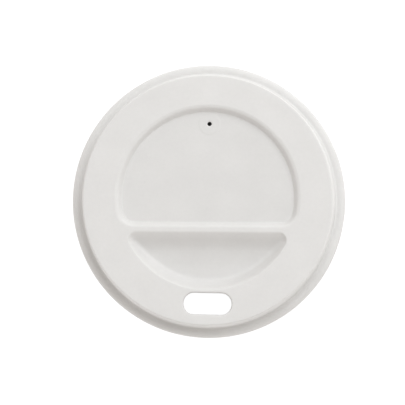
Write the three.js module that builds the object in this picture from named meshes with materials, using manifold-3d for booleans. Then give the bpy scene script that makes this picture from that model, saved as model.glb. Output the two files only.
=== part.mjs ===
// Drink-through lid for a hot paper cup, pressed from moulded fibre as one thin sheet.
// Millimetres, +Z up. The origin is the centre of the circle that the lip stands on,
// +X is to the drinker's right, and the drinking slot is at the front, towards -Y.

import * as THREE from 'three';
import { mergeVertices } from 'three/addons/utils/BufferGeometryUtils.js';
import Module from 'manifold-3d';

const wasm = await Module();
wasm.setup();

const degree = Math.PI / 180;

// The sheet
const sheetThickness = 0.65;

// Fit on the cup
const cupRimDiameter = 90; // over the cup's rolled rim
const rimClearance = 0.6; // all round, between the rolled rim and the skirt
const snapBite = 0.15; // how far the snap ring reaches in under the rolled rim
const lipFlare = 0.7; // how far the lip turns out again below the snap ring

// Heights above the surface that the lid stands on
const snapHeight = 2.6;
const shoulderHeight = 8.4;
const deckHeight = 17;

// Raised wall between the shoulder and the deck
const shoulderWidth = 3.05; // from the wall's foot to the skirt
const wallLean = 0.8; // how much further out the wall's foot is than its top

// Rounding of the section, on its outer side
const deckEdgeFillet = 1.9;
const footFillet = 1.2;
const shoulderFillet = 1.6;
const snapFillet = 1.6;

// Bar between the two recesses
const barFromCentre = 9.8; // to its centre line
const barWidth = 1.85; // between the sharp edges of the two recesses

// Flat recess behind the bar, a part of a circle
const panRadius = 30.35;
const panSetback = 0.85; // of the circle's centre, away from the slot
const panDepth = 2.35;
const panWallRun = 1.55; // horizontal width of its sloping wall
const panCornerRadius = 5.4;
const panEdgeFillet = 2;
const panFloorFillet = 0.95;

// Scooped recess in front of the bar, which makes room for the nose, a part of a circle too
const noseRadius = 29.8;
const noseSetback = -0.3;
const noseDepth = 6; // at its front wall
const noseWallRun = 3.3;
const noseCornerRadius = 2.7;
const noseEdgeFillet = 0.8;
const noseFloorFillet = 0.9;
const noseBarFillet = 1.6; // over the bar's edge, into the scoop
const noseSlope = 39.5 * degree; // of the scoop's back
const noseToeRun = 5.2; // from the bar to where the back runs out into the floor
const noseToeRadius = 9;
const noseFloorRun = 10; // from the bar to the nearly level stretch of the floor
const noseFloorRise = 0.45; // how far that stretch starts above the front of the floor
const noseFloorRadius = 20;

// Drinking slot, punched through the deck
const slotLength = 16;
const slotWidth = 7.1;
const slotCornerRadius = 3.5;
const slotEdgeRound = 0.45; // where the punch draws the sheet down
const slotFromCentre = 34.6;
const slotOffset = 0.2; // to the side
const slotTurn = -1 * degree; // the punch is a little askew

// Vent, pierced through a low round pad on the flat recess
const ventDiameter = 1.45;
const ventDimpleDiameter = 2.4;
const ventDimpleDepth = 0.2;
const padDiameter = 7.2;
const padRise = 0.12;
const ventFromWall = 5.6; // from the back of the flat recess
const ventOffset = 0.4; // to the side

// Facets
const turnSegments = 64; // round the revolved section
const filletStep = 24 * degree; // across a small fillet
const filletShare = 0.98; // of a stretch that the fillets at its ends may use up
const circleFacets = 34; // along a recess's share of its circle
const cornerFacets = 4; // round an outline's corner

const fibre = new THREE.MeshStandardMaterial({ color: 0xe3e1de, roughness: 0.85, metalness: 0 });

// Sizes that follow from those above
const skirtRadius = cupRimDiameter / 2 + rimClearance + sheetThickness;
const snapRadius = cupRimDiameter / 2 - snapBite + sheetThickness;
const footRadius = skirtRadius - shoulderWidth;
const deckRadius = footRadius - wallLean;
const panEdgeY = barWidth / 2 - barFromCentre;
const noseEdgeY = -barWidth / 2 - barFromCentre;
const ventY = panSetback + panRadius - ventFromWall;
const sharpestCorner = 0.3; // radius left in a recess's outline at its floor
const aboveDeck = 1; // how far the cutting tools stand proud of the deck
const throughSheet = 3 * sheetThickness; // how far they reach below the surface they cut

// A closed mesh as a solid for joining and cutting.
function toSolid(geometry) {
  const bare = geometry.clone();
  bare.deleteAttribute('normal');
  bare.deleteAttribute('uv');
  const merged = mergeVertices(bare, 1e-5);
  return new wasm.Manifold(new wasm.Mesh({
    numProp: 3,
    vertProperties: Float32Array.from(merged.attributes.position.array),
    triVerts: Uint32Array.from(merged.index.array),
  }));
}

// A solid as a geometry with flat faces.
function toGeometry(solid) {
  const mesh = solid.getMesh();
  const geometry = new THREE.BufferGeometry();
  geometry.setAttribute('position', new THREE.BufferAttribute(mesh.vertProperties, 3));
  geometry.setIndex(new THREE.BufferAttribute(mesh.triVerts, 1));
  geometry.computeVertexNormals();
  return geometry;
}

// Points on an arc, both ends included.
function arcPoints(cx, cy, radius, from, to, count) {
  return Array.from({ length: count + 1 }, (_, i) => {
    const angle = from + ((to - from) * i) / count;
    return new THREE.Vector2(cx + radius * Math.cos(angle), cy + radius * Math.sin(angle));
  });
}

// A path through corners [x, y, fillet], each corner rounded by its fillet, or by less where
// the stretches beside it are too short for that.
function filletedPath(corners, step = filletStep) {
  const places = corners.map(([x, y]) => new THREE.Vector2(x, y));
  const last = places.length - 1;
  const towards = (i, j) => places[j].clone().sub(places[i]).normalize();
  const halves = places.map((_, i) => {
    const cosine = i > 0 && i < last ? towards(i, i - 1).dot(towards(i, i + 1)) : -1;
    return Math.acos(THREE.MathUtils.clamp(cosine, -1, 1)) / 2;
  });
  const tangents = corners.map(([, , fillet = 0], i) => fillet / Math.tan(halves[i]));
  const room = places.slice(1).map((place, i) => (
    (filletShare * place.distanceTo(places[i])) / (tangents[i] + tangents[i + 1])
  ));
  return places.flatMap((corner, i) => {
    const fillet = (corners[i][2] ?? 0) * Math.min(1, room[i - 1] ?? 1, room[i] ?? 1);
    if (!fillet) {
      return [corner];
    }
    const back = towards(i, i - 1);
    const ahead = towards(i, i + 1);
    const middle = back.clone().add(ahead).normalize();
    const centre = corner.clone().addScaledVector(middle, fillet / Math.sin(halves[i]));
    const tangent = fillet / Math.tan(halves[i]);
    const start = corner.clone().addScaledVector(back, tangent).sub(centre).angle();
    const end = corner.clone().addScaledVector(ahead, tangent).sub(centre).angle();
    const turn = Math.atan2(Math.sin(end - start), Math.cos(end - start));
    const count = Math.max(2, Math.ceil(Math.abs(turn) / step));
    return arcPoints(centre.x, centre.y, fillet, start, start + turn, count);
  });
}

// The same path, moved sideways to its right by a distance.
function offsetPath(path, distance) {
  const rightOf = (a, b) => new THREE.Vector2(b.y - a.y, a.x - b.x).normalize();
  return path.map((point, i) => {
    const before = i > 0 ? rightOf(path[i - 1], point) : rightOf(point, path[i + 1]);
    const after = i < path.length - 1 ? rightOf(point, path[i + 1]) : before;
    const middle = before.clone().add(after).normalize();
    return point.clone().addScaledVector(middle, distance / middle.dot(before));
  });
}

// A profile of [radius, height] points turned round the Z axis.
function revolve(profile) {
  const geometry = new THREE.LatheGeometry(profile, turnSegments);
  geometry.rotateX(Math.PI / 2);
  const solid = toSolid(geometry);
  return solid.volume() > 0 ? solid : toSolid(flipped(geometry));
}

// The same faces, seen from their other side.
function flipped(geometry) {
  const turned = geometry.clone();
  const index = turned.index.array;
  for (let i = 0; i < index.length; i += 3) {
    [index[i], index[i + 1]] = [index[i + 1], index[i]];
  }
  return turned;
}

// A solid skinned over a stack of rings, lowest first. A ring is an anticlockwise outline
// of Vector2 at a height, and all rings have as many points.
function loft(rings) {
  const around = rings[0].outline.length;
  const positions = rings.flatMap(({ outline, z }) => outline.flatMap((p) => [p.x, p.y, z]));
  const index = [];
  for (let ring = 0; ring < rings.length - 1; ring += 1) {
    for (let i = 0; i < around; i += 1) {
      const a = ring * around + i;
      const b = ring * around + ((i + 1) % around);
      index.push(a, b, b + around, a, b + around, a + around);
    }
  }
  const top = (rings.length - 1) * around;
  for (const [a, b, c] of THREE.ShapeUtils.triangulateShape(rings[0].outline, [])) {
    index.push(a, c, b);
  }
  for (const [a, b, c] of THREE.ShapeUtils.triangulateShape(rings.at(-1).outline, [])) {
    index.push(top + a, top + b, top + c);
  }
  const geometry = new THREE.BufferGeometry();
  geometry.setAttribute('position', new THREE.Float32BufferAttribute(positions, 3));
  geometry.setIndex(index);
  return toSolid(geometry);
}

// The part of a circle behind (side 1) or in front of (side -1) a straight edge, with rounded
// corners, drawn in by an inset. The circle's centre lies back by a setback.
function segmentOutline(side, circleRadius, setback, edgeY, cornerRadius, inset) {
  const radius = circleRadius - inset;
  const corner = Math.max(cornerRadius - inset, sharpestCorner);
  const edge = side * (edgeY - setback) + inset;
  const cornerX = Math.sqrt((radius - corner) ** 2 - (edge + corner) ** 2);
  const start = Math.atan2(edge + corner, cornerX);
  const end = Math.PI - start;
  const outline = [
    ...arcPoints(cornerX, edge + corner, corner, -Math.PI / 2, start, cornerFacets),
    ...arcPoints(0, 0, radius, start, end, circleFacets).slice(1, -1),
    ...arcPoints(-cornerX, edge + corner, corner, end, 1.5 * Math.PI, cornerFacets),
  ].map((p) => new THREE.Vector2(p.x, setback + side * p.y));
  return side > 0 ? outline : outline.reverse();
}

// A profile of [inset, height above the deck] points skinned round the outlines.
function skin(profile, outlineAt) {
  const rings = profile.map((p) => ({ outline: outlineAt(p.x), z: deckHeight + p.y }));
  return loft(rings.reverse());
}

// What a recess takes out of the deck, and the pan that hangs under it, one sheet below.
function recess(outlineAt, run, depth, edgeFillet, floorFillet) {
  const section = filletedPath([
    [-2 * edgeFillet - sheetThickness, 0],
    [0, 0, edgeFillet],
    [run, -depth, floorFillet],
    [run + 2 * floorFillet, -depth],
  ]).slice(1, -1);
  const under = offsetPath(section, sheetThickness);
  const mouth = new THREE.Vector2(section[0].x, aboveDeck);
  const join = new THREE.Vector2(under[0].x, -sheetThickness / 2);
  return { cut: skin([mouth, ...section], outlineAt), pan: skin([join, ...under], outlineAt) };
}

// Everything above a curve of [y, height above the deck] points, right across the lid.
function above(curve, top) {
  const shape = new THREE.Shape([
    ...curve,
    new THREE.Vector2(curve.at(-1).x, top),
    new THREE.Vector2(curve[0].x, top),
  ]);
  const geometry = new THREE.ExtrudeGeometry(shape, {
    depth: 2 * skirtRadius,
    bevelEnabled: false,
  });
  geometry.translate(0, 0, -skirtRadius);
  geometry.applyMatrix4(new THREE.Matrix4().makeBasis(
    new THREE.Vector3(0, 1, 0),
    new THREE.Vector3(0, 0, 1),
    new THREE.Vector3(1, 0, 0),
  ));
  return toSolid(geometry).translate(0, 0, deckHeight);
}

// The revolved sheet: deck, raised wall, shoulder, skirt, snap ring and lip.
function revolvedSheet() {
  const outside = filletedPath([
    [0, deckHeight],
    [deckRadius, deckHeight, deckEdgeFillet],
    [footRadius, shoulderHeight, footFillet],
    [skirtRadius, shoulderHeight, shoulderFillet],
    [snapRadius, snapHeight, snapFillet],
    [snapRadius + lipFlare, 0],
  ]);
  const inside = offsetPath(outside, sheetThickness);
  inside[inside.length - 1].y = 0;
  return revolve([...outside, ...inside.reverse()]);
}

// The flat recess behind the bar.
function flatRecess() {
  const outlineAt = (inset) => (
    segmentOutline(1, panRadius, panSetback, panEdgeY, panCornerRadius, inset)
  );
  return recess(outlineAt, panWallRun, panDepth, panEdgeFillet, panFloorFillet);
}

// The scooped recess in front of the bar: a recess with a level floor, filled up at the back
// by the scoop's slope.
function noseRecess() {
  const outlineAt = (inset) => (
    segmentOutline(-1, noseRadius, noseSetback, noseEdgeY, noseCornerRadius, inset)
  );
  const { cut, pan } = recess(outlineAt, noseWallRun, noseDepth, noseEdgeFillet, noseFloorFillet);
  const frontY = noseSetback - noseRadius + noseWallRun;
  const floorFall = noseFloorRise / (noseEdgeY - noseFloorRun - frontY);
  const beyond = 2 * noseWallRun;
  const scoop = filletedPath([
    [noseEdgeY + beyond, 0],
    [noseEdgeY, 0, noseBarFillet],
    [noseEdgeY - noseToeRun, -noseToeRun * Math.tan(noseSlope), noseToeRadius],
    [noseEdgeY - noseFloorRun, noseFloorRise - noseDepth, noseFloorRadius],
    [frontY - beyond, -noseDepth - beyond * floorFall],
  ], filletStep / 3);
  const scoopUnder = offsetPath(scoop, -sheetThickness);
  return {
    cut: cut.intersect(above(scoop, 2 * aboveDeck)),
    pan: pan.intersect(above(scoopUnder, 2 * aboveDeck)),
  };
}

// An obround outline, drawn in by an inset.
function slotOutline(inset) {
  const corner = slotCornerRadius - inset;
  const x = slotLength / 2 - slotCornerRadius;
  const y = slotWidth / 2 - slotCornerRadius;
  const quarters = [[x, y], [-x, y], [-x, -y], [x, -y]];
  return quarters.flatMap(([cx, cy], i) => (
    arcPoints(cx, cy, corner, (i * Math.PI) / 2, ((i + 1) * Math.PI) / 2, cornerFacets)
  ));
}

// The punch that makes the drinking slot, with the drawn-down edge.
function slotPunch() {
  const edge = filletedPath([
    [-2 * slotEdgeRound, 0],
    [0, 0, slotEdgeRound],
    [0, -throughSheet],
  ]).slice(1);
  const mouth = new THREE.Vector2(edge[0].x, aboveDeck);
  return skin([mouth, ...edge], slotOutline)
    .rotate(0, 0, slotTurn / degree)
    .translate(slotOffset, -slotFromCentre, 0);
}

// The pad on the flat recess, and the pin that pierces it.
function ventPadAndPin() {
  const floor = deckHeight - panDepth;
  const pad = revolve([
    new THREE.Vector2(0, -sheetThickness / 2),
    new THREE.Vector2(padDiameter / 2, -sheetThickness / 2),
    new THREE.Vector2(padDiameter / 2, 0),
    new THREE.Vector2(padDiameter / 2 - 2 * padRise, padRise),
    new THREE.Vector2(0, padRise),
  ]);
  const pin = revolve([
    new THREE.Vector2(0, -throughSheet),
    new THREE.Vector2(ventDiameter / 2, -throughSheet),
    new THREE.Vector2(ventDiameter / 2, padRise - ventDimpleDepth),
    new THREE.Vector2(ventDimpleDiameter / 2, padRise),
    new THREE.Vector2(ventDimpleDiameter / 2, padRise + aboveDeck),
    new THREE.Vector2(0, padRise + aboveDeck),
  ]);
  return [pad, pin].map((solid) => solid.translate(ventOffset, ventY, floor));
}

function makeLid() {
  const flat = flatRecess();
  const nose = noseRecess();
  const [pad, pin] = ventPadAndPin();
  return revolvedSheet()
    .add(flat.pan)
    .add(nose.pan)
    .subtract(flat.cut)
    .subtract(nose.cut)
    .add(pad)
    .subtract(pin)
    .subtract(slotPunch());
}

const lid = new THREE.Mesh(toGeometry(makeLid()), fibre);
lid.name = 'lid';

const part = new THREE.Group();
part.add(lid);

export default part;
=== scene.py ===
import math

import bpy
import numpy as np
from mathutils import Matrix, Vector, noise
from mathutils.geometry import delaunay_2d_cdt


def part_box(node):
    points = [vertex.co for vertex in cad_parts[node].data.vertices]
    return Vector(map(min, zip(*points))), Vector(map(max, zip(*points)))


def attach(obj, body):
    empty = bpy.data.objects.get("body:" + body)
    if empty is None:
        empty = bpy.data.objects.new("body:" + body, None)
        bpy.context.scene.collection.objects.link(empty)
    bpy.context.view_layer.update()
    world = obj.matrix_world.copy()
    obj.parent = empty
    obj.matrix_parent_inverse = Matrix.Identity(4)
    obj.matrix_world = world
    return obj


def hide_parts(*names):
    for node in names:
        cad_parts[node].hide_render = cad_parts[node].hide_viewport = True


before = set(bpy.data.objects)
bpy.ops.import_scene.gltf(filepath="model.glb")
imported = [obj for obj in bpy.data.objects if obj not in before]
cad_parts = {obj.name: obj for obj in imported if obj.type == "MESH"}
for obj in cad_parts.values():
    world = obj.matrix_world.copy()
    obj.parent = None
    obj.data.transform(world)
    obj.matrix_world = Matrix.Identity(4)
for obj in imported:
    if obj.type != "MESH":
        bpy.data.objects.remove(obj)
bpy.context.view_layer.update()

# A cup lid pressed from moulded fibre. Its surface is worked out in millimetres, in the frame
# of the CAD model, and turned into metres when a mesh is made of it.
MM = 0.001
low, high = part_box("lid")
lip_radius = (high[0] - low[0]) / 2 / MM
deck_height = high[2] / MM

# The sheet and its revolved section: deck, wall, round bead on the shoulder, skirt, snap ring, lip
sheet_thickness = 0.65
deck_radius = lip_radius - 4.3
foot_radius = lip_radius - 3.45
skirt_radius = lip_radius + 0.05
snap_radius = lip_radius - 0.7
foot_height = 7.95
bead_height = 8.5
bead_radius = lip_radius - 1.8
shoulder_height = 8.0
snap_height = 2.6
deck_edge_fillet = 0.7
foot_fillet = 0.7
bead_fillet = 1.6
shoulder_fillet = 1.5
snap_fillet = 1.6

# Flat recess, a part of a circle behind a straight edge. Its wall starts with a gentle round
# along the circle, and without one along the straight edge.
pan_y = 0.85
pan_edge_y = -8.875
pan_radius = 30.35
pan_depth = 2.35
pan_wall_run = 1.55
pan_corner_radius = 5.4
pan_round_start = -0.7
pan_round_end = 0.3
pan_round_drop = 0.36
pan_round_fillet = 0.5
pan_arc_fillet = 1.6
pan_bar_fillet = 0.8
pan_floor_fillet = 0.45

# Scooped nose recess, a part of a circle in front of a straight edge
nose_y = -0.3
nose_edge_y = -10.725
nose_radius = 29.8
nose_depth = 6.0
nose_wall_run = 3.3
nose_corner_radius = 2.7
nose_edge_fillet = 0.6
nose_bar_fillet = 1.6
nose_slope = math.radians(39.5)
nose_toe_run = 5.2
nose_toe_radius = 9
nose_floor_run = 10
nose_floor_rise = 0.45
nose_floor_radius = 20

# Rounding of the crease between its walls and its floor, from the back of it to the front
nose_back_blend = 3.0
nose_front_blend = 1.5
blend_start = 3
blend_run = 6

# Drinking slot and vent
slot_length = 16.0
slot_width = 7.1
slot_corner_radius = 3.5
slot_edge_round = 0.6
slot_x = 0.2
slot_y = -34.6
slot_turn = math.radians(-1)
vent_x = 0.4
vent_y = 25.6
vent_radius = 0.72
vent_dimple_radius = 1.2
vent_dimple_depth = 0.2
pad_radius = 3.6
pad_rise = 0.09
pad_slope_run = 0.7

# Unevenness of the pressed sheet, which fades out towards the deck's edge
sag = 0.12
sag_span = 15.0
sag_fade = 6.0

# Fineness of the mesh
turn_steps = 288
fillet_step = math.radians(9)
fillet_least_steps = 3
fillet_share = 0.98
ring_spacing = 0.75
corner_fineness = 2.5
corner_least_steps = 8
least_corner_radius = 0.3
slot_corner_steps = 12
slot_edge_steps = 6
vent_steps = 20
dimple_steps = 24
pad_steps = 40
row_start = 0.8
row_gap = 0.45
row_reach = 29
fill_spacing = 1.05
fill_row_share = 0.87
cell_size = 0.7
slope_step = 0.2
section_margin = 4
walls_go_on = 3
vent_shrink = 0.97
sharp_angle = math.radians(40)
tiny = 1e-6

# Distances of the mesh's rings from the edges that they follow
slot_outer_rings = (0.9, 1.5)
vent_rings = (0.8, 0.9, 1.05, 1.2, 1.4, 1.7, 2.1, 2.7)
pad_rings = np.linspace(pad_radius - 0.5, pad_radius + 0.5, 7)
pan_rings = np.arange(-1.8, pan_wall_run + 1.5, 0.25)
nose_outer_rings = (-1.3, -1.0)
nose_rings = np.arange(0.7, nose_wall_run + 1.2, 0.22)

# Least distances between points of the mesh: on rings, on rows across the scoop, and elsewhere
ring_points_apart = 0.05
row_points_apart = 0.3
fill_points_apart = 0.6 * fill_spacing


def arc_points(cx, cy, radius, start, end, count):
    """Points on an arc, both ends included."""
    angles = np.linspace(start, end, count + 1)
    return np.column_stack([cx + radius * np.cos(angles), cy + radius * np.sin(angles)])


def circle_points(cx, cy, radius, count):
    """Points round a circle."""
    return arc_points(cx, cy, radius, 0, 2 * math.pi, count)[:-1]


def eased(share):
    """A share from 0 to 1 that starts and ends gently."""
    return share * share * (3 - 2 * share)


def filleted_path(corners):
    """A path through corners (x, y, fillet), each rounded by its fillet, or by less where the
    stretches beside it are too short for that."""
    places = np.array([corner[:2] for corner in corners], float)
    wanted = np.array([corner[2] for corner in corners], float)
    along = np.diff(places, axis=0)
    lengths = np.linalg.norm(along, axis=1)
    along = along / lengths[:, None]
    halves = np.full(len(corners), math.pi / 2)
    halves[1:-1] = (math.pi - np.arccos(np.clip(np.sum(along[:-1] * along[1:], axis=1), -1, 1))) / 2
    tangents = wanted / np.tan(halves)
    room = fillet_share * lengths / np.maximum(tangents[:-1] + tangents[1:], 1e-9)
    rows = []
    for i, (place, fillet) in enumerate(zip(places, wanted)):
        if not fillet:
            rows.append(place[None, :])
            continue
        share = min(1, room[i - 1], room[i])
        fillet *= share
        middle = along[i] - along[i - 1]
        centre = place + middle / np.linalg.norm(middle) * fillet / math.sin(halves[i])
        start = place - along[i - 1] * tangents[i] * share - centre
        end = place + along[i] * tangents[i] * share - centre
        first = math.atan2(start[1], start[0])
        turn = math.atan2(end[1], end[0]) - first
        turn = math.atan2(math.sin(turn), math.cos(turn))
        count = max(fillet_least_steps, math.ceil(abs(turn) / fillet_step))
        rows.append(arc_points(centre[0], centre[1], fillet, first, first + turn, count))
    return np.vstack(rows)


class Recess:
    """The part of a circle behind (side 1) or in front of (side -1) a straight edge."""

    def __init__(self, side, centre_y, radius, edge_y, corner):
        self.side = side
        self.centre_y = centre_y
        self.radius = radius
        self.edge = side * (edge_y - centre_y)
        self.corner = corner
        self.corner_x = math.sqrt((radius - corner) ** 2 - (self.edge + corner) ** 2)

    def inset(self, x, y):
        """How far points lie inside the outline, less than 0 outside it."""
        v = self.side * (y - self.centre_y)
        reach = np.hypot(x, v)
        inner = self.radius - self.corner
        floor = self.edge + self.corner
        from_arc = inner - reach
        from_edge = v - floor
        to_corner = -np.hypot(np.abs(x) - self.corner_x, v - floor)
        beside_edge = (from_edge < 0) & (np.abs(x) <= self.corner_x)
        beside_arc = (from_arc < 0) & (v * inner >= floor * reach)
        inside = (from_arc >= 0) & (from_edge >= 0)
        outside = np.where(beside_edge, from_edge, np.where(beside_arc, from_arc, to_corner))
        return self.corner + np.where(inside, np.minimum(from_arc, from_edge), outside)

    def arc_share(self, x, y):
        """0 beside the straight edge, 1 beside the arc, and between them round a corner."""
        v = self.side * (y - self.centre_y) - self.edge - self.corner
        angle = np.arctan2(v, np.abs(x) - self.corner_x)
        end = math.atan2(self.edge + self.corner, self.corner_x)
        turn = np.clip((angle + math.pi / 2) / (end + math.pi / 2), 0, 1)
        beside_arc = (v >= 0) | ((np.abs(x) > self.corner_x) & (angle > end))
        share = np.where(beside_arc, 1, np.where(np.abs(x) <= self.corner_x, 0, turn))
        return eased(share)

    def ring(self, inset):
        """Points round the outline, drawn in by an inset."""
        radius = self.radius - inset
        corner = max(self.corner - inset, least_corner_radius)
        floor = self.edge + inset + corner
        corner_x = math.sqrt((radius - corner) ** 2 - floor ** 2)
        start = math.atan2(floor, corner_x)
        end = math.pi - start
        arc_steps = round((math.pi - 2 * start) * self.radius / ring_spacing)
        corner_steps = max(corner_least_steps, round(corner_fineness * self.corner / ring_spacing))
        edge_steps = round(2 * self.corner_x / ring_spacing)
        along = np.linspace(-corner_x, corner_x, edge_steps + 1)[1:-1]
        rows = np.vstack([
            arc_points(corner_x, floor, corner, -math.pi / 2, start, corner_steps),
            arc_points(0, 0, radius, start, end, arc_steps)[1:-1],
            arc_points(-corner_x, floor, corner, end, 1.5 * math.pi, corner_steps),
            np.column_stack([along, np.full(len(along), floor - corner)]),
        ])
        return np.column_stack([rows[:, 0], self.centre_y + self.side * rows[:, 1]])


pan = Recess(1, pan_y, pan_radius, pan_edge_y, pan_corner_radius)
nose = Recess(-1, nose_y, nose_radius, nose_edge_y, nose_corner_radius)

# Depths across the walls of the recesses, over the inset from their outlines
pan_arc_section = filleted_path([
    (-section_margin, 0, 0),
    (pan_round_start, 0, pan_round_fillet),
    (pan_round_end, pan_round_drop, pan_arc_fillet),
    (pan_wall_run, pan_depth, pan_floor_fillet),
    (pan_wall_run + section_margin, pan_depth, 0),
])
pan_bar_section = filleted_path([
    (-section_margin, 0, 0),
    (0, 0, pan_bar_fillet),
    (pan_wall_run, pan_depth, pan_floor_fillet),
    (pan_wall_run + section_margin, pan_depth, 0),
])
nose_wall_section = filleted_path([
    (-section_margin, 0, 0),
    (0, 0, nose_edge_fillet),
    (walls_go_on * nose_wall_run, walls_go_on * nose_depth, 0),
])

# Depths of the scoop, over the distance in front of the bar
nose_span = nose_edge_y - (nose_y - nose_radius + nose_wall_run)
scoop_section = filleted_path([
    (-section_margin, 0, 0),
    (0, 0, nose_bar_fillet),
    (nose_toe_run, nose_toe_run * math.tan(nose_slope), nose_toe_radius),
    (nose_floor_run, nose_depth - nose_floor_rise, nose_floor_radius),
    (nose_span, nose_depth, 0),
])


def along_section(section, distance):
    """Depth of a section at distances along it."""
    return np.interp(distance, section[:, 0], section[:, 1])


def smooth_least(a, b, blend):
    """The lesser of two depths, with the crease between them filleted."""
    blend = np.minimum(blend, (a + b) / 2 + 1e-9)
    near = np.maximum(blend - np.abs(a - b), 0) / blend
    return np.minimum(a, b) - near * near * blend / 4


def deck_surface(x, y):
    """Height of the sheet's upper side, without the punched details."""
    inset = pan.inset(x, y)
    share = pan.arc_share(x, y)
    pan_part = (share * along_section(pan_arc_section, inset)
                + (1 - share) * along_section(pan_bar_section, inset))
    walls = along_section(nose_wall_section, nose.inset(x, y))
    scoop = along_section(scoop_section, nose_edge_y - y)
    forward = np.clip((nose_edge_y - y - blend_start) / blend_run, 0, 1)
    blend = nose_back_blend + (nose_front_blend - nose_back_blend) * forward
    nose_part = smooth_least(walls, scoop, blend)
    return deck_height - pan_part - np.maximum(nose_part, 0)


def upward(x, y):
    """Unit normals of that surface."""
    ahead = deck_surface(x + slope_step, y), deck_surface(x, y + slope_step)
    behind = deck_surface(x - slope_step, y), deck_surface(x, y - slope_step)
    slope_x = (ahead[0] - behind[0]) / (2 * slope_step)
    slope_y = (ahead[1] - behind[1]) / (2 * slope_step)
    normals = np.column_stack([-slope_x, -slope_y, np.ones(len(x))])
    return normals / np.linalg.norm(normals, axis=1)[:, None]


def slot_ring(outset):
    """Points round the drinking slot, drawn out by a distance."""
    corner = slot_corner_radius + outset
    x = slot_length / 2 - slot_corner_radius
    y = slot_width / 2 - slot_corner_radius
    quarter = math.pi / 2
    along = np.linspace(-x, x, round(2 * x / ring_spacing) + 1)[1:-1]
    straight = np.full(len(along), y + corner)
    rows = np.vstack([
        arc_points(x, y, corner, 0, quarter, slot_corner_steps),
        np.column_stack([along[::-1], straight]),
        arc_points(-x, y, corner, quarter, 2 * quarter, slot_corner_steps),
        arc_points(-x, -y, corner, 2 * quarter, 3 * quarter, slot_corner_steps),
        np.column_stack([along, -straight]),
        arc_points(x, -y, corner, 3 * quarter, 4 * quarter, slot_corner_steps),
    ])
    turn = np.array([
        [math.cos(slot_turn), math.sin(slot_turn)],
        [-math.sin(slot_turn), math.cos(slot_turn)],
    ])
    return rows @ turn + np.array([slot_x, slot_y])


def slot_outset(x, y):
    """How far points lie outside the slot's edge."""
    dx = x - slot_x
    dy = y - slot_y
    u = math.cos(slot_turn) * dx + math.sin(slot_turn) * dy
    v = -math.sin(slot_turn) * dx + math.cos(slot_turn) * dy
    over_x = np.abs(u) - (slot_length / 2 - slot_corner_radius)
    over_y = np.abs(v) - (slot_width / 2 - slot_corner_radius)
    reach = np.hypot(np.maximum(over_x, 0), np.maximum(over_y, 0))
    return reach + np.minimum(np.maximum(over_x, over_y), 0) - slot_corner_radius


def from_vent(x, y):
    """Distance of points from the middle of the vent."""
    return np.hypot(x - vent_x, y - vent_y)


def punched_details(x, y):
    """What the slot's rolled edge, the vent's pad and its dimple add to the height."""
    outset = np.clip(slot_outset(x, y), 0, slot_edge_round)
    rolled = np.sqrt(slot_edge_round ** 2 - (slot_edge_round - outset) ** 2) - slot_edge_round
    reach = from_vent(x, y)
    pad = pad_rise * eased(np.clip((pad_radius - reach) / pad_slope_run + 0.5, 0, 1))
    bowl = np.clip((vent_dimple_radius - reach) / (vent_dimple_radius - vent_radius), 0, 1)
    dimple = -vent_dimple_depth * bowl * bowl
    return rolled + pad + dimple


def outer_section():
    """Half section of the sheet's outer side, from the deck's edge down to the lip."""
    path = filleted_path([
        (0, deck_height, 0),
        (deck_radius, deck_height, deck_edge_fillet),
        (foot_radius, foot_height, foot_fillet),
        (bead_radius, bead_height, bead_fillet),
        (skirt_radius, shoulder_height, shoulder_fillet),
        (snap_radius, snap_height, snap_fillet),
        (lip_radius, 0, 0),
    ])[1:]
    rows = [path[0]]
    for point in path[1:]:
        start = rows[-1]
        count = max(1, math.ceil(np.linalg.norm(point - start) / ring_spacing))
        rows.extend(start + (point - start) * k / count for k in range(1, count + 1))
    return np.array(rows)


def section_normals(path):
    """Outward normals at the points of the half section, longer where it bends so that the
    sheet keeps its thickness."""
    along = np.diff(path, axis=0)
    along = along / np.linalg.norm(along, axis=1)[:, None]
    sides = np.column_stack([-along[:, 1], along[:, 0]])
    sides = np.vstack([[0, 1], sides, sides[-1:]])
    middles = sides[:-1] + sides[1:]
    middles = middles / np.linalg.norm(middles, axis=1)[:, None]
    return middles / np.sum(middles * sides[1:], axis=1)[:, None]


def border_rings(rim_radius):
    """Points round the deck's rim, the slot and the vent, which the mesh has to follow."""
    return [
        circle_points(0, 0, rim_radius, turn_steps),
        slot_ring(0),
        circle_points(vent_x, vent_y, vent_radius, vent_steps),
    ]


def border_edges(borders):
    """Edges that close each of those rings."""
    edges = []
    start = 0
    for ring in borders:
        count = len(ring)
        edges.extend((start + i, start + (i + 1) % count) for i in range(count))
        start += count
    return edges


def detail_rings():
    """Points along the rounded edges, where the mesh is finer."""
    angles = np.linspace(0, math.pi / 2, slot_edge_steps + 1)[1:]
    rolled = slot_edge_round * (1 - np.cos(angles))
    pan_insets = [*pan_arc_section[1:-1, 0], *pan_rings]
    nose_insets = [*nose_outer_rings, *nose_wall_section[1:-1, 0], *nose_rings]
    return [
        *(slot_ring(outset) for outset in [*rolled, *slot_outer_rings]),
        *(circle_points(vent_x, vent_y, reach, dimple_steps) for reach in vent_rings),
        *(circle_points(vent_x, vent_y, reach, pad_steps) for reach in pad_rings),
        *(pan.ring(inset) for inset in pan_insets),
        *(nose.ring(inset) for inset in nose_insets),
    ]


def scoop_rows():
    """Points in rows across the scoop."""
    xs = np.arange(-row_reach, row_reach + 0.01, ring_spacing)
    rows = []
    for run in [*scoop_section[1:-1, 0], *np.arange(row_start, nose_span, row_gap)]:
        row = np.column_stack([xs, np.full(len(xs), nose_edge_y - run)])
        rows.append(row[nose.inset(row[:, 0], row[:, 1]) > row_points_apart])
    return rows


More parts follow.
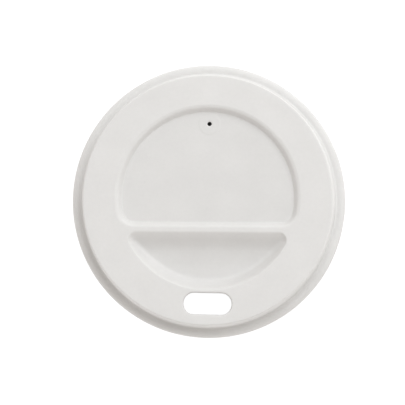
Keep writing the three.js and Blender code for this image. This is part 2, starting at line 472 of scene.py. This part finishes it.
def fill_rows(rim_radius):
    """Points all over the deck, in rows that lie half a step aside from their neighbours."""
    count = int(rim_radius / fill_spacing) + 1
    rows = []
    for j in range(-count, count + 1):
        xs = (np.arange(-count, count + 1) + 0.5 * (j % 2)) * fill_spacing
        rows.append(np.column_stack([xs, np.full(len(xs), j * fill_spacing * fill_row_share)]))
    return rows


def thinned(rings, rows, fill, rim_radius):
    """All those points, without the ones that crowd others or lie in a hole."""
    kept = []
    cells = {}
    around = [(a, b) for a in (-1, 0, 1) for b in (-1, 0, 1)]
    groups = ((rings, ring_points_apart), (rows, row_points_apart), (fill, fill_points_apart))
    for group, space in groups:
        fresh = np.vstack(group)
        x, y = fresh[:, 0], fresh[:, 1]
        on_sheet = np.hypot(x, y) <= rim_radius + tiny
        on_sheet &= slot_outset(x, y) > -tiny
        on_sheet &= from_vent(x, y) > vent_radius - tiny
        for x, y in fresh[on_sheet]:
            i, j = round(x / cell_size), round(y / cell_size)
            near = [p for a, b in around for p in cells.get((i + a, j + b), ())]
            if any((x - u) ** 2 + (y - v) ** 2 < space * space for u, v in near):
                continue
            cells.setdefault((i, j), []).append((x, y))
            kept.append((x, y))
    return np.array(kept)


def noise_sag(x, y, rim_radius):
    """How far the uneven sheet lies below its true surface."""
    rough = np.array([noise.noise(Vector((a, b, 0)) / sag_span) for a, b in zip(x, y)])
    fade = eased(np.clip((rim_radius - np.hypot(x, y)) / sag_fade, 0, 1))
    return sag * np.clip(0.5 + rough, 0, 1) * fade


def outside_holes(flat, faces):
    """The faces that lie neither in the slot nor in the vent."""
    middles = flat[np.array(faces)].mean(axis=1)
    x, y = middles[:, 0], middles[:, 1]
    solid = (slot_outset(x, y) >= 0) & (from_vent(x, y) >= vent_shrink * vent_radius)
    return [tuple(face) for face, keep in zip(faces, solid) if keep]


def deck_mesh(rim_radius):
    """Upper points, under points and faces of the deck, and how many points are on its rim,
    slot and vent, which come first."""
    borders = border_rings(rim_radius)
    plan = thinned(borders + detail_rings(), scoop_rows(), fill_rows(rim_radius), rim_radius)
    result = delaunay_2d_cdt([Vector(p) for p in plan], border_edges(borders), [], 0, 1e-7)
    flat = np.array([tuple(p) for p in result[0]])
    x, y = flat[:, 0], flat[:, 1]
    upper = np.column_stack([x, y, deck_surface(x, y) - noise_sag(x, y, rim_radius)])
    under = upper - sheet_thickness * upward(x, y)
    upper[:, 2] += punched_details(x, y)
    return upper, under, outside_holes(flat, result[2]), [len(ring) for ring in borders]


def skirt_rings(path):
    """Upper and under rings of points, from below the deck's rim down to the lip."""
    turn = np.linspace(0, 2 * math.pi, turn_steps + 1)[:-1]
    upper = []
    under = []
    for point, normal in zip(path[1:], section_normals(path)[1:]):
        inner = point - sheet_thickness * normal
        if point[1] == 0:
            inner[1] = 0
        for rings, (radius, height) in ((upper, point), (under, inner)):
            rings.append(np.column_stack([
                radius * np.cos(turn), radius * np.sin(turn), np.full(turn_steps, height)]))
    return upper, under


def skirt_faces(rows, deck_points):
    """Faces of a number of rows below the deck, whose rim has the first points of all."""
    faces = []
    for row in range(rows):
        first = 0 if row == 0 else deck_points + (row - 1) * turn_steps
        second = deck_points + row * turn_steps
        for i in range(turn_steps):
            j = (i + 1) % turn_steps
            faces.append((first + i, second + i, second + j, first + j))
    return faces


def cut_faces(start, size, half, outward):
    """Faces across the sheet's thickness, along a closed border of the sheet."""
    faces = []
    for i in range(size):
        a = start + i
        b = start + (i + 1) % size
        face = (a, half + a, half + b, b)
        faces.append(face if outward else face[::-1])
    return faces


def lid_shell():
    """Points and faces of the whole sheet, and how many faces its upper side has. The upper
    side comes first, then the underside, then the cut edges."""
    path = outer_section()
    upper, under, faces, (rim_size, slot_size, vent_size) = deck_mesh(path[0][0])
    skirt_upper, skirt_under = skirt_rings(path)
    lip_start = len(upper) + (len(path) - 2) * turn_steps
    faces += skirt_faces(len(path) - 1, len(upper))
    upper = np.vstack([upper, *skirt_upper])
    under = np.vstack([under, *skirt_under])
    half = len(upper)
    shell = faces + [tuple(half + i for i in reversed(face)) for face in faces]
    shell += cut_faces(lip_start, turn_steps, half, True)
    shell += cut_faces(rim_size, slot_size, half, False)
    shell += cut_faces(rim_size + slot_size, vent_size, half, False)
    return np.vstack([upper, under]), shell, len(faces)


def make_sheet():
    """The lid as one closed mesh, and how many faces its upper side has."""
    points, shell, upper_count = lid_shell()
    mesh = bpy.data.meshes.new("lid_sheet")
    mesh.from_pydata((points * MM).tolist(), [], shell)
    mesh.validate()
    mesh.shade_smooth()
    mesh.set_sharp_from_angle(angle=sharp_angle)
    made = bpy.data.objects.new("lid_sheet", mesh)
    bpy.context.scene.collection.objects.link(made)
    return made, upper_count


sheet, upper_faces = make_sheet()
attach(sheet, "root")
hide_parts("lid")


def math_node(tree, operation, first, second):
    """A Math node on two inputs, each a socket or a number."""
    node = tree.nodes.new("ShaderNodeMath")
    node.operation = operation
    for socket, value in zip(node.inputs, (first, second)):
        if isinstance(value, (int, float)):
            socket.default_value = value
        else:
            tree.links.new(value, socket)
    return node.outputs[0]


def noise_node(tree, place, scale, detail, roughness):
    """The value of a Noise Texture at a place."""
    node = tree.nodes.new("ShaderNodeTexNoise")
    node.inputs["Scale"].default_value = scale
    node.inputs["Detail"].default_value = detail
    node.inputs["Roughness"].default_value = roughness
    tree.links.new(place, node.inputs["Vector"])
    return node.outputs["Fac"]


def ramp_node(tree, value, start, end, low_value, high_value):
    """A value mapped from one range to another, and held at its ends."""
    node = tree.nodes.new("ShaderNodeMapRange")
    for name, number in (("From Min", start), ("From Max", end),
                         ("To Min", low_value), ("To Max", high_value)):
        node.inputs[name].default_value = number
    tree.links.new(value, node.inputs["Value"])
    return node.outputs["Result"]


# Colour of the fibre, by what share each kind of unevenness changes it, and how much painted shade
# darkens the recesses
fibre_colour = (0.774, 0.766, 0.755)
fibre_roughness = 0.82
fibre_specular = 0.25
mottle_share = 0.018
grain_share = 0.012
fleck_share = 0.04
# Painted shade: the recesses are made darker the deeper they lie below the deck
recess_shade_share = 0.034
recess_shade_from = 0.4
recess_shade_full = 1.9

# Scales of the noise, per metre, the values between which it counts, and the lie of the fibres
mottle_scale = 90
grain_scale = 900
fibre_scale = 1700
rough_scale = 650
noise_low = 0.3
noise_high = 0.7
fleck_full = 0.82
fibre_stretch = 0.35
fibre_turn = math.radians(35)

# Fine relief of the upper side, and of the underside with the weave of the forming mesh
relief_strength = 0.35
relief_depth = 0.03
mesh_relief_strength = 0.8
mesh_relief_depth = 0.06
mesh_pitch = 0.9
fibres_in_relief = 0.4
weave_in_relief = 0.7


def fibre_tone_and_recess_shade(tree, place, fibres, height):
    """Brightness of the fibre: faint mottle, fine grain and flecks, and painted shade that makes
    the recesses a little darker the deeper they lie."""
    mottle = ramp_node(tree, noise_node(tree, place, mottle_scale, 3, 0.5),
                       noise_low, noise_high, -mottle_share, mottle_share)
    grain = ramp_node(tree, noise_node(tree, place, grain_scale, 4, 0.65),
                      noise_low, noise_high, -grain_share, grain_share)
    flecks = ramp_node(tree, fibres, noise_high, fleck_full, 0, -fleck_share)
    # Painted shade, darker the deeper the surface lies below the deck
    recess_shade = ramp_node(tree, height, (deck_height - recess_shade_full) * MM,
                        (deck_height - recess_shade_from) * MM, -recess_shade_share, 0)
    tone = math_node(tree, "ADD", math_node(tree, "ADD", mottle, grain), flecks)
    tone = math_node(tree, "ADD", tone, 1.0)
    return math_node(tree, "ADD", tone, recess_shade)


def mesh_weave(tree, parts):
    """The weave of the forming mesh, as crossing waves."""
    wave = 2 * math.pi / (mesh_pitch * MM)
    across = math_node(tree, "SINE", math_node(tree, "MULTIPLY", parts.outputs["X"], wave), 0)
    along = math_node(tree, "SINE", math_node(tree, "MULTIPLY", parts.outputs["Y"], wave), 0)
    return math_node(tree, "MULTIPLY", across, along)


def fibre_material(name, mesh_side):
    """Matt off-white moulded fibre. The underside has the weave of the forming mesh."""
    material = bpy.data.materials.new(name)
    material.use_nodes = True
    tree = material.node_tree
    shader = tree.nodes["Principled BSDF"]
    shader.inputs["Roughness"].default_value = fibre_roughness
    shader.inputs["Specular IOR Level"].default_value = fibre_specular
    place = tree.nodes.new("ShaderNodeTexCoord").outputs["Object"]
    parts = tree.nodes.new("ShaderNodeSeparateXYZ")
    tree.links.new(place, parts.inputs["Vector"])
    stretched = tree.nodes.new("ShaderNodeMapping")
    stretched.inputs["Scale"].default_value = (1, fibre_stretch, 1)
    stretched.inputs["Rotation"].default_value = (0, 0, fibre_turn)
    tree.links.new(place, stretched.inputs["Vector"])
    fibres = noise_node(tree, stretched.outputs["Vector"], fibre_scale, 2, 0.5)

    tint = tree.nodes.new("ShaderNodeVectorMath")
    tint.operation = "SCALE"
    tint.inputs["Vector"].default_value = fibre_colour
    # Tone of the fibre, with painted shade in the recesses
    tone = fibre_tone_and_recess_shade(tree, place, fibres, parts.outputs["Z"])
    tree.links.new(tone, tint.inputs["Scale"])
    tree.links.new(tint.outputs["Vector"], shader.inputs["Base Color"])

    relief = math_node(tree, "MULTIPLY", fibres, fibres_in_relief)
    relief = math_node(tree, "ADD", relief, noise_node(tree, place, rough_scale, 4, 0.6))
    if mesh_side:
        weave = math_node(tree, "MULTIPLY", mesh_weave(tree, parts), weave_in_relief)
        relief = math_node(tree, "ADD", relief, weave)
    bump = tree.nodes.new("ShaderNodeBump")
    bump.inputs["Strength"].default_value = mesh_relief_strength if mesh_side else relief_strength
    bump.inputs["Distance"].default_value = (mesh_relief_depth if mesh_side else relief_depth) * MM
    tree.links.new(relief, bump.inputs["Height"])
    tree.links.new(bump.outputs["Normal"], shader.inputs["Normal"])
    return material


sheet.data.materials.append(fibre_material("moulded_fibre", False))
sheet.data.materials.append(fibre_material("moulded_fibre_mesh_side", True))
for face in sheet.data.polygons[upper_faces:2 * upper_faces]:
    face.material_index = 1

# Camera, nearly straight above, tipped a little towards the drinker
camera_distance = 0.70
camera_tilt = math.radians(3)
camera_side = math.radians(2.4)
camera_roll = math.radians(0.4)
camera_sensor = 36
aim_height = 2.4
photo_width = 405
lid_width_in_photo = 271.5
lid_centre_in_photo = (209.2, 202.1)


def place_camera():
    """The photograph's view."""
    per_metre = lid_width_in_photo / (2 * lip_radius * MM)
    rim_centre = Vector((0, 0, aim_height * MM))
    back = Vector((math.sin(camera_side), -math.sin(camera_tilt), 1)).normalized()
    right = Vector((0, 1, 0)).cross(back).normalized()
    up = back.cross(right)
    turn = Matrix.Rotation(camera_roll, 3, back)
    right = turn @ right
    up = turn @ up
    dx = (photo_width / 2 - lid_centre_in_photo[0]) / per_metre
    dy = (lid_centre_in_photo[1] - photo_width / 2) / per_metre
    aim = rim_centre + right * dx + up * dy
    data = bpy.data.cameras.new("camera")
    data.sensor_width = camera_sensor
    data.lens = camera_sensor * camera_distance * per_metre / photo_width
    data.clip_start = 0.01
    camera = bpy.data.objects.new("camera", data)
    basis = Matrix((right, up, back)).transposed().to_4x4()
    camera.matrix_world = Matrix.Translation(aim + back * camera_distance) @ basis
    bpy.context.scene.collection.objects.link(camera)
    bpy.context.scene.camera = camera


# Floor: what the camera sees of it, and what light it gives back
floor_reach = 2.0
under_lid_radius = 0.041
behind_slot_y = -0.027
seen_level = 0.2
seen_glow = 0.96
bounce_level = 0.9
bounce_glow = 0.32


def background_rays(tree):
    """1 for the rays that show the background: those of the camera, gloss and glass."""
    path = tree.nodes.new("ShaderNodeLightPath")
    seen = math_node(tree, "MAXIMUM", path.outputs["Is Camera Ray"], path.outputs["Is Glossy Ray"])
    return math_node(tree, "MAXIMUM", seen, path.outputs["Is Transmission Ray"])


def mixed(tree, share, first, second):
    """Two shaders mixed by a share of the second."""
    mix = tree.nodes.new("ShaderNodeMixShader")
    tree.links.new(share, mix.inputs[0])
    tree.links.new(first, mix.inputs[1])
    tree.links.new(second, mix.inputs[2])
    return mix.outputs[0]


def matt_and_glowing(tree, level, glow):
    """A matt grey of a level that glows as well."""
    matt = tree.nodes.new("ShaderNodeBsdfDiffuse")
    matt.inputs["Color"].default_value = (level, level, level, 1)
    emission = tree.nodes.new("ShaderNodeEmission")
    tree.links.new(glow, emission.inputs["Strength"])
    both = tree.nodes.new("ShaderNodeAddShader")
    tree.links.new(matt.outputs[0], both.inputs[0])
    tree.links.new(emission.outputs[0], both.inputs[1])
    return both.outputs[0]


def stage_floor():
    """A white floor with the lid's shadow on it. It glows to the camera, except under the lid,
    where only the stretch behind the drinking slot does, so that the vent looks dark."""
    data = bpy.data.meshes.new("floor")
    far = floor_reach
    data.from_pydata([(-far, -far, 0), (far, -far, 0), (far, far, 0), (-far, far, 0)], [],
                     [(0, 1, 2, 3)])
    floor = bpy.data.objects.new("floor", data)
    bpy.context.scene.collection.objects.link(floor)
    material = bpy.data.materials.new("white_floor")
    material.use_nodes = True
    tree = material.node_tree
    tree.nodes.clear()
    out = tree.nodes.new("ShaderNodeOutputMaterial")
    place = tree.nodes.new("ShaderNodeTexCoord").outputs["Object"]
    parts = tree.nodes.new("ShaderNodeSeparateXYZ")
    tree.links.new(place, parts.inputs["Vector"])
    reach = tree.nodes.new("ShaderNodeVectorMath")
    reach.operation = "LENGTH"
    tree.links.new(place, reach.inputs[0])
    outside = math_node(tree, "GREATER_THAN", reach.outputs["Value"], under_lid_radius)
    in_front = math_node(tree, "LESS_THAN", parts.outputs["Y"], behind_slot_y)
    in_slot = math_node(tree, "MULTIPLY", math_node(tree, "SUBTRACT", 1.0, outside), in_front)
    to_camera = math_node(tree, "ADD", math_node(tree, "MULTIPLY", outside, seen_glow), in_slot)
    to_lid = math_node(tree, "MULTIPLY", outside, bounce_glow)
    surface = mixed(tree, background_rays(tree),
                    matt_and_glowing(tree, bounce_level, to_lid),
                    matt_and_glowing(tree, seen_level, to_camera))
    tree.links.new(surface, out.inputs["Surface"])
    data.materials.append(material)


# Light: a pale surround and two round soft lamps
surround_overhead = 0.48
surround_horizon = 0.88
surround_tint = (1, 0.960, 0.925, 1)
key_azimuth = math.radians(58)
key_height = math.radians(52)
key_power = 8.5
key_tint = (0.93, 0.972, 1.0)
fill_azimuth = math.radians(235)
fill_height = math.radians(22)
fill_power = 0.35
fill_tint = (1.0, 0.98, 0.96)
lamp_distance = 1.2
lamp_size = 1.1


def studio_light():
    """A broad soft lamp at the back right and a faint one across from it, in a pale surround
    that is brightest low down."""
    world = bpy.data.worlds.new("studio")
    world.use_nodes = True
    tree = world.node_tree
    tree.nodes.clear()
    out = tree.nodes.new("ShaderNodeOutputWorld")
    place = tree.nodes.new("ShaderNodeTexCoord").outputs["Generated"]
    parts = tree.nodes.new("ShaderNodeSeparateXYZ")
    tree.links.new(place, parts.inputs["Vector"])
    level = ramp_node(tree, parts.outputs["Z"], 0, 1, surround_horizon, surround_overhead)
    surround = tree.nodes.new("ShaderNodeBackground")
    surround.inputs["Color"].default_value = surround_tint
    tree.links.new(level, surround.inputs["Strength"])
    white = tree.nodes.new("ShaderNodeBackground")
    white.inputs["Color"].default_value = (1, 1, 1, 1)
    sky = mixed(tree, background_rays(tree), surround.outputs[0], white.outputs[0])
    tree.links.new(sky, out.inputs["Surface"])
    bpy.context.scene.world = world
    add_lamp("key", key_azimuth, key_height, key_power, key_tint)
    add_lamp("fill", fill_azimuth, fill_height, fill_power, fill_tint)


def add_lamp(name, azimuth, height, power, tint):
    """A round soft lamp that faces the lid."""
    lamp = bpy.data.lights.new(name, "AREA")
    lamp.shape = "DISK"
    lamp.size = lamp_size
    lamp.energy = power
    lamp.color = tint
    holder = bpy.data.objects.new(name, lamp)
    reach = lamp_distance * math.cos(height)
    holder.location = (reach * math.cos(azimuth), reach * math.sin(azimuth),
                       lamp_distance * math.sin(height))
    holder.rotation_euler = holder.location.to_track_quat("Z", "Y").to_euler()
    bpy.context.scene.collection.objects.link(holder)


place_camera()
stage_floor()
studio_light()
bpy.context.scene.view_settings.view_transform = "Standard"
